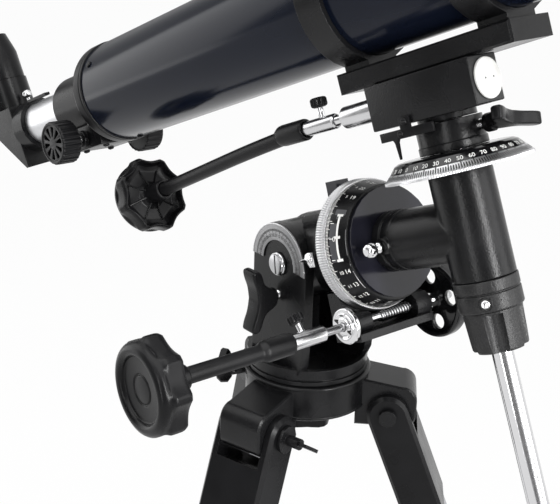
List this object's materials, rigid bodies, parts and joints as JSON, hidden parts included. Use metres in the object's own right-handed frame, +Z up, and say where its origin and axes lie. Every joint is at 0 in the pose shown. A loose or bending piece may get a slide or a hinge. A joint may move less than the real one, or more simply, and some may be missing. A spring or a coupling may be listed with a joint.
{
  "type": "refracting telescope on an equatorial mount",
  "caption": "Small refracting telescope with a star diagonal on a German equatorial mount with slow-motion controls, a counterweight and a folding tripod.",
  "frame": {"origin": "bottom centre of the bounding box, on the floor under the mount", "axes": "+Z up, +X towards the front of the tube"},
  "size_m": [0.8394, 0.5584, 1.1275],
  "materials": {
    "satin_casting": "satin black paint",
    "black_plastic": "satin moulded plastic",
    "black_rubber": "smooth satin",
    "chrome": "polished",
    "steel": "machined",
    "grey_disc": "matt grey",
    "scale_plate": "satin with printed marks",
    "brushed_aluminium": "satin",
    "white_plastic": "satin",
    "navy_gloss": "high gloss",
    "lens_glass": "coated"
  },
  "bodies": {
    "tripod": {"tripod_hub": "satin_casting"},
    "hub_bolt": {"hub_bolt": "black_plastic"},
    "leg_1": {"leg_head_1": "black_plastic", "upper_leg_1": "brushed_aluminium"},
    "foot_1": {"lower_leg_1": "brushed_aluminium"},
    "leg_clamp_1": {"leg_clamp_1": "black_plastic"},
    "leg_2": {"leg_head_2": "black_plastic", "upper_leg_2": "brushed_aluminium"},
    "foot_2": {"lower_leg_2": "brushed_aluminium"},
    "leg_clamp_2": {"leg_clamp_2": "black_plastic"},
    "leg_3": {"leg_head_3": "black_plastic", "upper_leg_3": "brushed_aluminium"},
    "foot_3": {"lower_leg_3": "brushed_aluminium"},
    "leg_clamp_3": {"leg_clamp_3": "black_plastic"},
    "azimuth_lock": {"azimuth_lock": "black_plastic"},
    "fork": {"azimuth_base": "satin_casting", "latitude_scale": "scale_plate", "altitude_bolt": "chrome"},
    "latitude_clamp": {"latitude_clamp": "black_plastic"},
    "latitude_jack": {"latitude_jack": "chrome"},
    "polar": {"polar_housing": "satin_casting", "ra_ring_nut": "chrome", "latitude_pointer": "chrome"},
    "ra_clutch": {"ra_clutch_screw": "grey_disc"},
    "ra_control": {"ra_worm": "steel", "ra_sleeve": "chrome", "ra_flex_shaft": "black_rubber", "ra_knob": "black_plastic", "ra_hand_wheel": "black_plastic"},
    "ra_drive": {"ra_wheel": "brushed_aluminium"},
    "ra_circle": {"ra_circle": "black_plastic"},
    "head": {"head_housing": "satin_casting", "ra_disc": "grey_disc"},
    "head_lock": {"head_lock_screw": "chrome"},
    "dec_circle": {"dec_circle": "brushed_aluminium"},
    "dec_clutch": {"dec_clutch": "satin_casting"},
    "dec_lever": {"dec_clutch_lever": "black_plastic"},
    "sight": {"dec_block": "satin_casting", "dec_cap": "white_plastic", "dec_pointer": "satin_casting", "dec_flex_shaft": "black_rubber", "dec_lock_nut": "satin_casting", "saddle": "satin_casting", "tube_ring_1": "satin_casting", "tube_ring_2": "satin_casting", "balance_bar": "chrome"},
    "dec_control": {"dec_worm": "steel", "dec_sleeve": "chrome"},
    "dec_knob": {"dec_knob": "black_plastic"},
    "counterweight": {"counterweight": "satin_casting"},
    "counterweight_screw": {"counterweight_screw": "black_plastic"},
    "tube": {"optical_tube": "navy_gloss", "dew_shield": "navy_gloss", "objective_lens": "lens_glass", "rear_cell": "black_plastic"},
    "focus_knobs": {"focus_pinion": "black_plastic"},
    "drawtube": {"drawtube": "brushed_aluminium"},
    "diagonal": {"star_diagonal": "black_plastic"},
    "eyepiece": {"eyepiece": "black_plastic"}
  },
  "joints": [
    {"name": "hub_bolt_turn", "type": "hinge", "parent": "tripod", "child": "hub_bolt", "pos_m": [-0.05597, 0.03408, 0.65101], "axis": [0, 0, 1], "continuous": true},
    {"name": "leg_fold_1", "type": "hinge", "parent": "tripod", "child": "leg_1", "pos_m": [-0.04053, -0.01975, 0.65351], "axis": [0.9613, 0.2756, 0], "range_deg": [0, 22]},
    {"name": "leg_extend_1", "type": "slide", "parent": "leg_1", "child": "foot_1", "axis": [0.0988, -0.3445, -0.9336], "range_m": [-0.225, 0.05]},
    {"name": "leg_clamp_turn_1", "type": "hinge", "parent": "leg_1", "child": "leg_clamp_1", "pos_m": [0.00686, -0.18505, 0.26749], "axis": [0.2573, -0.8974, 0.3584], "range_deg": [-90, 270]},
    {"name": "leg_fold_2", "type": "hinge", "parent": "tripod", "child": "leg_2", "pos_m": [-0.01707, 0.07436, 0.65351], "axis": [-0.7193, 0.6947, 0], "range_deg": [0, 22]},
    {"name": "leg_extend_2", "type": "slide", "parent": "leg_2", "child": "foot_2", "axis": [0.2489, 0.2578, -0.9336], "range_m": [-0.225, 0.05]},
    {"name": "leg_clamp_turn_2", "type": "hinge", "parent": "leg_2", "child": "leg_clamp_2", "pos_m": [0.10238, 0.19806, 0.26749], "axis": [0.6485, 0.6716, 0.3584], "range_deg": [-90, 270]},
    {"name": "leg_fold_3", "type": "hinge", "parent": "tripod", "child": "leg_3", "pos_m": [-0.11031, 0.04762, 0.65351], "axis": [-0.2419, -0.9703, 0], "range_deg": [0, 22]},
    {"name": "leg_extend_3", "type": "slide", "parent": "leg_3", "child": "foot_3", "axis": [-0.3477, 0.0867, -0.9336], "range_m": [-0.225, 0.05]},
    {"name": "leg_clamp_turn_3", "type": "hinge", "parent": "leg_3", "child": "leg_clamp_3", "pos_m": [-0.27715, 0.08922, 0.26749], "axis": [-0.9058, 0.2259, 0.3584], "range_deg": [-90, 270]},
    {"name": "azimuth_lock_turn", "type": "hinge", "parent": "tripod", "child": "azimuth_lock", "pos_m": [-0.09927, 0.00908, 0.66901], "axis": [-0.866, -0.5, 0], "range_deg": [-90, 270]},
    {"name": "azimuth_turn", "type": "hinge", "parent": "tripod", "child": "fork", "pos_m": [-0.05597, 0.03408, 0.68101], "axis": [0, 0, 1], "continuous": true},
    {"name": "latitude_clamp_turn", "type": "hinge", "parent": "fork", "child": "latitude_clamp", "pos_m": [-0.05097, -0.00592, 0.73801], "axis": [0, -1, 0], "range_deg": [-90, 180]},
    {"name": "latitude_jack_turn", "type": "hinge", "parent": "fork", "child": "latitude_jack", "pos_m": [-0.08597, 0.03408, 0.71101], "axis": [-1, 0, 0], "continuous": true},
    {"name": "latitude_tilt", "type": "hinge", "parent": "fork", "child": "polar", "pos_m": [-0.04997, 0.03408, 0.75901], "axis": [0, -1, 0], "range_deg": [-10, 40]},
    {"name": "ra_clutch_turn", "type": "hinge", "parent": "polar", "child": "ra_clutch", "pos_m": [-0.03019, 0.03408, 0.80516], "axis": [-0.3584, 0, 0.9336], "continuous": true},
    {"name": "ra_slow_motion", "type": "hinge", "parent": "polar", "child": "ra_drive", "pos_m": [0.0016, 0.03408, 0.78094], "axis": [0.9336, 0, 0.3584], "range_deg": [-15, 15]},
    {"name": "ra_control_turn", "type": "hinge", "parent": "polar", "child": "ra_control", "pos_m": [0.01711, 0.03408, 0.74052], "axis": [0, 1, 0], "range_deg": [-1695, 1695]},
    {"name": "ra_circle_slip", "type": "hinge", "parent": "ra_drive", "child": "ra_circle", "pos_m": [0.01187, 0.03408, 0.78488], "axis": [0.9336, 0, 0.3584], "continuous": true},
    {"name": "ra_slew", "type": "hinge", "parent": "ra_drive", "child": "head", "pos_m": [0.024, 0.03408, 0.78954], "axis": [0.9336, 0, 0.3584], "range_deg": [-40, 15]},
    {"name": "head_lock_turn", "type": "hinge", "parent": "head", "child": "head_lock", "pos_m": [0.03034, 0.01209, 0.79117], "axis": [0.0188, -0.9986, -0.0489], "continuous": true},
    {"name": "dec_circle_slip", "type": "hinge", "parent": "head", "child": "dec_circle", "pos_m": [0.06642, 0.03209, 0.84647], "axis": [-0.3579, -0.0523, 0.9323], "continuous": true},
    {"name": "dec_slew", "type": "hinge", "parent": "head", "child": "dec_clutch", "pos_m": [0.06212, 0.03146, 0.85766], "axis": [-0.3579, -0.0523, 0.9323], "continuous": true},
    {"name": "dec_lever_turn", "type": "hinge", "parent": "dec_clutch", "child": "dec_lever", "pos_m": [0.07881, 0.03504, 0.86898], "axis": [0.9128, 0.1905, 0.3611], "range_deg": [0, 25]},
    {"name": "dec_slow_motion", "type": "hinge", "parent": "dec_clutch", "child": "sight", "pos_m": [0.05854, 0.03094, 0.86698], "axis": [-0.3579, -0.0523, 0.9323], "range_deg": [-55, 55]},
    {"name": "dec_control_turn", "type": "hinge", "parent": "sight", "child": "dec_control", "pos_m": [-0.00115, 0.00993, 0.86005], "axis": [0.9265, 0.1044, 0.3615], "range_deg": [-3300, 3300]},
    {"name": "dec_knob_turn", "type": "hinge", "parent": "sight", "child": "dec_knob", "pos_m": [-0.19058, -0.00922, 0.77017], "axis": [0.8895, 0.0991, 0.4461], "range_deg": [-3300, 3300]},
    {"name": "counterweight_slide", "type": "slide", "parent": "sight", "child": "counterweight", "axis": [-0.3579, -0.0523, 0.9323], "range_m": [-0.05, 0.1]},
    {"name": "counterweight_screw_turn", "type": "hinge", "parent": "counterweight", "child": "counterweight_screw", "pos_m": [0.1556, 0.00876, 0.62465], "axis": [0.1162, -0.9932, -0.0111], "range_deg": [-90, 270]},
    {"name": "tube_turn", "type": "hinge", "parent": "sight", "child": "tube", "pos_m": [0.02956, 0.0267, 0.9425], "axis": [0.9265, 0.1044, 0.3615], "continuous": true},
    {"name": "focus_travel", "type": "slide", "parent": "tube", "child": "drawtube", "axis": [-0.9265, -0.1044, -0.3615], "range_m": [-0.025, 0.06]},
    {"name": "focus_knobs_turn", "type": "hinge", "parent": "tube", "child": "focus_knobs", "pos_m": [-0.25756, -0.00632, 0.8016], "axis": [-0.103, 0.9944, -0.023], "range_deg": [-204.63, 491.11]},
    {"name": "diagonal_turn", "type": "hinge", "parent": "drawtube", "child": "diagonal", "pos_m": [-0.34105, -0.01506, 0.7979], "axis": [0.9265, 0.1044, 0.3615], "continuous": true},
    {"name": "eyepiece_turn", "type": "hinge", "parent": "diagonal", "child": "eyepiece", "pos_m": [-0.39298, -0.02426, 0.82024], "axis": [-0.3487, -0.1232, 0.9291], "continuous": true}
  ],
  "couplings": [
    {"joint": "ra_control_turn", "follows": "ra_slow_motion", "ratio": 113},
    {"joint": "dec_control_turn", "follows": "dec_slow_motion", "ratio": 60},
    {"joint": "dec_knob_turn", "follows": "dec_slow_motion", "ratio": 60},
    {"joint": "focus_knobs_turn", "follows": "focus_travel", "rad_per_m": 142.86}
  ]
}
